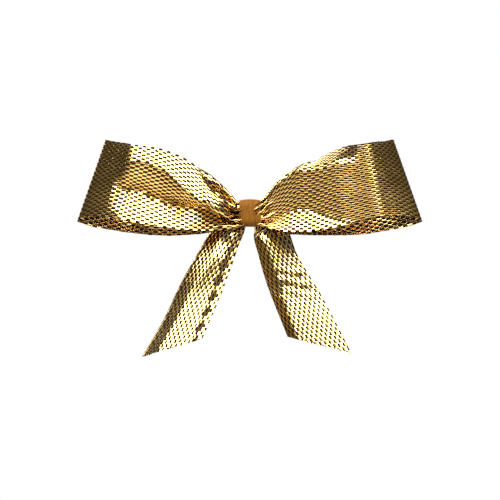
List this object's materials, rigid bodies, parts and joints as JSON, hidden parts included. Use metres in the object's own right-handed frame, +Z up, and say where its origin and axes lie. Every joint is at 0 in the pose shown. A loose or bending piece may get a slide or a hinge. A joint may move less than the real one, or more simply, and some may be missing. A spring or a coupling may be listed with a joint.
{
  "type": "pre-made gift bow",
  "caption": "Pre-made gift bow in woven metallic gold ribbon: open loops and slant-cut tails, pleated at the waist under a narrow centre band, with an adhesive pad behind.",
  "frame": {"origin": "behind the centre of the adhesive pad, on the outer face of its release liner, where the bow lies against the gift", "axes": "+Z up, towards the loops' upper edges; +X along the bow, from the left loop to the right loop; +Y out of the rear face, into the gift, so the bow's front looks towards -Y"},
  "size_m": [0.0632, 0.0107, 0.0393],
  "materials": {
    "ribbon": "woven metallic gold, flat foil tapes across fine dark threads",
    "thread": "twisted polyester thread",
    "band": "satin, mustard gold, ribbed along its length",
    "glue": "hot-melt glue film",
    "foam": "closed-cell foam with a tacky face",
    "liner": "smooth silicone-coated paper"
  },
  "bodies": {
    "knot": {"ribbon_waist": "ribbon", "binding_thread": "thread", "centre_band": "band", "band_glue": "glue", "adhesive_pad": "foam"},
    "left_loop": {"left_loop": "ribbon"},
    "right_loop": {"right_loop": "ribbon"},
    "left_tail": {"left_tail": "ribbon"},
    "right_tail": {"right_tail": "ribbon"},
    "release_liner": {"release_liner": "liner"}
  },
  "joints": [
    {"name": "left_loop_fluff", "type": "hinge", "parent": "knot", "child": "left_loop", "pos_m": [-0.0038, -0.00385, 0.0006], "axis": [0, 0, 1], "range_deg": [0, 35], "stiffness_Nm_per_rad": 0.0005},
    {"name": "right_loop_fluff", "type": "hinge", "parent": "knot", "child": "right_loop", "pos_m": [0.0038, -0.00385, 0.0006], "axis": [0, 0, -1], "range_deg": [0, 35], "stiffness_Nm_per_rad": 0.0005},
    {"name": "left_tail_swing", "type": "hinge", "parent": "knot", "child": "left_tail", "pos_m": [-0.00325, -0.00215, -0.001], "axis": [0, 1, 0], "range_deg": [-8, 20], "stiffness_Nm_per_rad": 0.0005},
    {"name": "right_tail_swing", "type": "hinge", "parent": "knot", "child": "right_tail", "pos_m": [0.00325, -0.00215, -0.001], "axis": [0, -1, 0], "range_deg": [-8, 20], "stiffness_Nm_per_rad": 0.0005},
    {"name": "liner_peel", "type": "hinge", "parent": "knot", "child": "release_liner", "pos_m": [-0.006, 0, 0], "axis": [0, 0, 1], "range_deg": [0, 150]}
  ]
}
